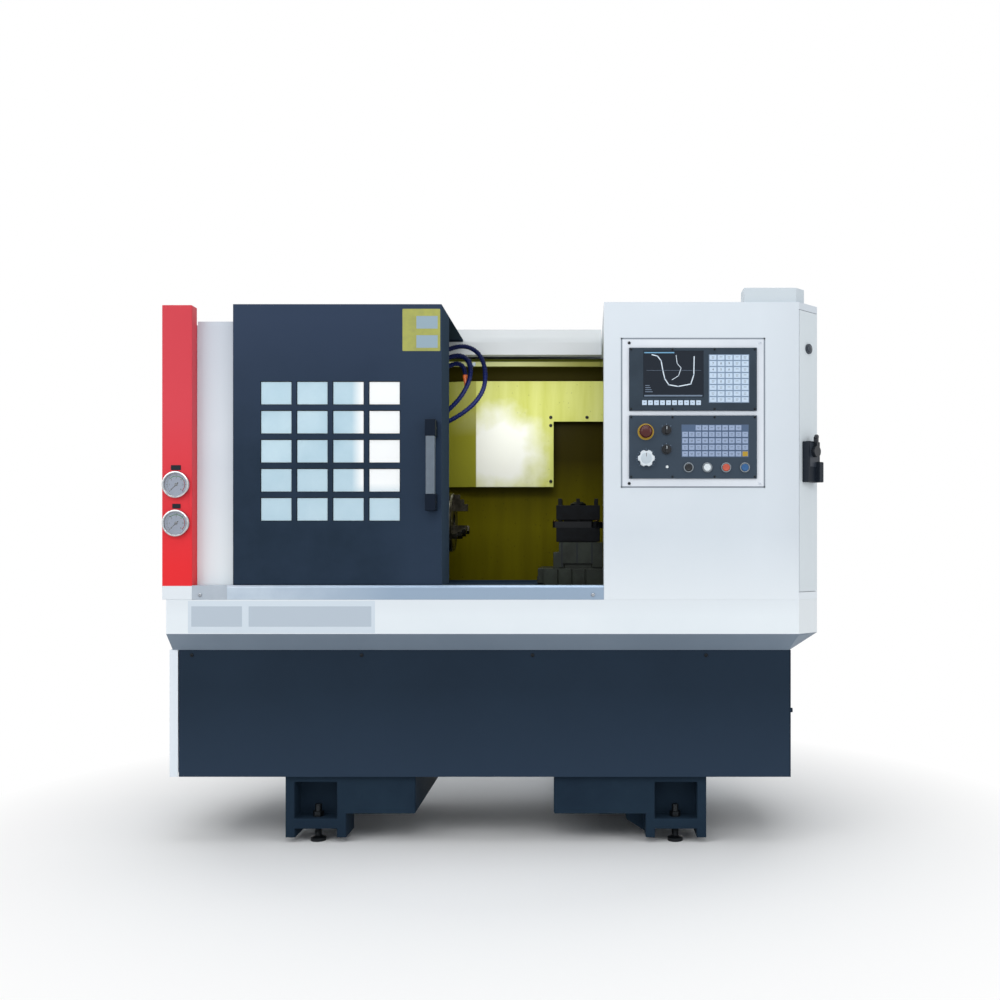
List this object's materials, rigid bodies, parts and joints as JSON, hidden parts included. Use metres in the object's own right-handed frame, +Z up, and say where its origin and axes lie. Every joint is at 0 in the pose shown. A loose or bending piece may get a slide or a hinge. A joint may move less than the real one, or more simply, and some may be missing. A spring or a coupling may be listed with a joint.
{
  "type": "cnc turning lathe",
  "caption": "Flat-bed turning lathe with a hydraulic chuck and a four-way tool post, inside a sheet-metal enclosure with a sliding windowed door and an operator console.",
  "frame": {"origin": "on the floor, under the middle of the machine's bounding box", "axes": "+X to the operator's right along the spindle line, +Y away from the operator, +Z up"},
  "size_m": [1.992, 1.16, 1.688],
  "materials": {
    "slate_paint": "semi-gloss powder coat",
    "white_paint": "satin powder coat",
    "red_paint": "satin powder coat",
    "casting_paint": "brushed machine enamel",
    "headstock_paint": "brushed machine enamel",
    "lining_paint": "coolant-stained enamel",
    "zinc_sheet": "bright zinc plate",
    "rail_steel": "brushed",
    "anodised_panel": "white anodised",
    "black_plastic": "fine moulded grain",
    "grip_plastic": "smooth moulded",
    "black_gloss": "gloss",
    "white_gloss": "gloss",
    "red_gloss": "gloss",
    "blue_gloss": "gloss",
    "selector_plastic": "gloss",
    "membrane": "embossed film",
    "window_sheet": "polycarbonate",
    "screen_glass": "anti-glare",
    "bezel_metal": "satin chrome",
    "gauge_case": "polished",
    "needle_paint": "matt black",
    "zinc_screw": "zinc plated",
    "turned_steel": "turned and ground",
    "tool_steel": "black oxide",
    "black_oxide": "black oxide",
    "slide_iron": "scraped and ground",
    "pulley_iron": "turned",
    "belt_rubber": "matt",
    "hose_plastic": "smooth tube",
    "orange_plastic": "gloss",
    "switch_lever": "gloss"
  },
  "bodies": {
    "machine": {"bed_casting": "casting_paint", "levelling_screws": "zinc_screw", "base_front_cover": "slate_paint", "base_left_panel": "white_paint", "base_right_panel": "slate_paint", "base_rear_cover": "slate_paint", "skirt_band": "white_paint", "coolant_tank": "headstock_paint", "sill_rail": "rail_steel", "headstock_cover": "white_paint", "gauge_column": "red_paint", "pressure_gauges": "gauge_case", "rear_guard": "white_paint", "right_cabinet": "white_paint", "fan_box": "white_paint", "chamber_lining": "lining_paint", "splash_plate": "zinc_sheet", "operator_panel": "anodised_panel", "display_module": "black_plastic", "display_screen": "screen_glass", "membrane_keys": "membrane", "control_module": "black_plastic", "button_bezels": "bezel_metal", "headstock_casting": "headstock_paint", "spindle_motor": "headstock_paint", "drive_belt": "belt_rubber", "tailstock_body": "headstock_paint", "coolant_fittings": "orange_plastic", "coolant_hose_long": "hose_plastic", "coolant_hose_middle": "hose_plastic", "coolant_hose_short": "hose_plastic"},
    "door": {"sliding_door": "slate_paint", "door_window": "window_sheet", "door_handle_mounts": "black_plastic", "door_handle_grip": "grip_plastic"},
    "spindle_line": {"spindle": "turned_steel", "chuck_body": "turned_steel"},
    "jaw_a": {"chuck_jaw_a": "turned_steel"},
    "jaw_b": {"chuck_jaw_b": "turned_steel"},
    "jaw_c": {"chuck_jaw_c": "turned_steel"},
    "motor_rotor": {"motor_pulley": "pulley_iron"},
    "carriage": {"carriage_saddle": "slide_iron"},
    "slide": {"cross_slide": "slide_iron"},
    "turret": {"tool_post": "black_oxide", "turning_tools": "tool_steel"},
    "quill": {"tailstock_quill": "turned_steel"},
    "stop_button": {"e_stop_button": "red_gloss"},
    "black_plunger": {"black_button": "black_gloss"},
    "white_plunger": {"white_button": "white_gloss"},
    "red_plunger": {"red_button": "red_gloss"},
    "blue_plunger": {"blue_button": "blue_gloss"},
    "upper_switch": {"upper_selector": "selector_plastic"},
    "lower_switch": {"lower_selector": "selector_plastic"},
    "override": {"override_knob": "white_gloss"},
    "side_door": {"cabinet_door": "white_paint", "switch_housing": "black_plastic"},
    "main_switch": {"switch_handle": "switch_lever"},
    "lock": {"cabinet_lock": "zinc_screw"},
    "chuck_needle": {"chuck_gauge_needle": "needle_paint"},
    "tailstock_needle": {"tailstock_gauge_needle": "needle_paint"}
  },
  "joints": [
    {"name": "door_slide", "type": "slide", "parent": "machine", "child": "door", "axis": [1, 0, 0], "range_m": [-0.11, 0.486]},
    {"name": "spindle_turn", "type": "hinge", "parent": "machine", "child": "spindle_line", "pos_m": [-0.2, -0.122, 0.99], "axis": [1, 0, 0], "continuous": true},
    {"name": "jaw_a_slide", "type": "slide", "parent": "spindle_line", "child": "jaw_a", "axis": [0, 0, 1], "range_m": [0, 0.004]},
    {"name": "jaw_b_slide", "type": "slide", "parent": "spindle_line", "child": "jaw_b", "axis": [0, -0.866, -0.5], "range_m": [0, 0.004]},
    {"name": "jaw_c_slide", "type": "slide", "parent": "spindle_line", "child": "jaw_c", "axis": [0, 0.866, -0.5], "range_m": [0, 0.004]},
    {"name": "motor_turn", "type": "hinge", "parent": "machine", "child": "motor_rotor", "pos_m": [-0.75, -0.072, 1.222], "axis": [1, 0, 0], "continuous": true},
    {"name": "carriage_slide", "type": "slide", "parent": "machine", "child": "carriage", "axis": [1, 0, 0], "range_m": [-0.2, 0.02]},
    {"name": "cross_slide_travel", "type": "slide", "parent": "carriage", "child": "slide", "axis": [0, 1, 0], "range_m": [-0.04, 0.05]},
    {"name": "tool_post_index", "type": "hinge", "parent": "slide", "child": "turret", "pos_m": [0.25, -0.202, 0.98], "axis": [0, 0, 1], "continuous": true},
    {"name": "quill_slide", "type": "slide", "parent": "machine", "child": "quill", "axis": [-1, 0, 0], "range_m": [0, 0.045]},
    {"name": "stop_press", "type": "slide", "parent": "machine", "child": "stop_button", "axis": [0, 1, 0], "range_m": [0, 0.003]},
    {"name": "black_press", "type": "slide", "parent": "machine", "child": "black_plunger", "axis": [0, 1, 0], "range_m": [0, 0.003], "stiffness_N_per_m": 400},
    {"name": "white_press", "type": "slide", "parent": "machine", "child": "white_plunger", "axis": [0, 1, 0], "range_m": [0, 0.003], "stiffness_N_per_m": 400},
    {"name": "red_press", "type": "slide", "parent": "machine", "child": "red_plunger", "axis": [0, 1, 0], "range_m": [0, 0.003], "stiffness_N_per_m": 400},
    {"name": "blue_press", "type": "slide", "parent": "machine", "child": "blue_plunger", "axis": [0, 1, 0], "range_m": [0, 0.003], "stiffness_N_per_m": 400},
    {"name": "upper_selector_turn", "type": "hinge", "parent": "machine", "child": "upper_switch", "pos_m": [0.517, -0.548, 1.258], "axis": [0, 1, 0], "range_deg": [-45, 45]},
    {"name": "lower_selector_turn", "type": "hinge", "parent": "machine", "child": "lower_switch", "pos_m": [0.517, -0.548, 1.2], "axis": [0, 1, 0], "range_deg": [-45, 45]},
    {"name": "override_turn", "type": "hinge", "parent": "machine", "child": "override", "pos_m": [0.456, -0.548, 1.173], "axis": [0, 1, 0], "range_deg": [-135, 135]},
    {"name": "cabinet_door_swing", "type": "hinge", "parent": "machine", "child": "side_door", "pos_m": [0.9898, 0.10225, 1.2], "axis": [0, 0, 1], "range_deg": [0, 110]},
    {"name": "main_switch_turn", "type": "hinge", "parent": "side_door", "child": "main_switch", "pos_m": [0.96527, -0.52327, 1.19575], "axis": [0.7071, -0.7071, 0], "range_deg": [0, 90]},
    {"name": "lock_turn", "type": "hinge", "parent": "side_door", "child": "lock", "pos_m": [0.9495, -0.5075, 1.508], "axis": [0.7071, -0.7071, 0], "range_deg": [0, 90]},
    {"name": "chuck_needle_turn", "type": "hinge", "parent": "machine", "child": "chuck_needle", "pos_m": [-0.952, -0.5463, 1.095], "axis": [0, 1, 0], "range_deg": [0, 270]},
    {"name": "tailstock_needle_turn", "type": "hinge", "parent": "machine", "child": "tailstock_needle", "pos_m": [-0.952, -0.5463, 0.9795], "axis": [0, 1, 0], "range_deg": [0, 270]}
  ],
  "couplings": [
    {"joint": "motor_turn", "follows": "spindle_turn", "ratio": 1.4},
    {"joint": "jaw_b_slide", "follows": "jaw_a_slide", "ratio": 1},
    {"joint": "jaw_c_slide", "follows": "jaw_a_slide", "ratio": 1}
  ]
}
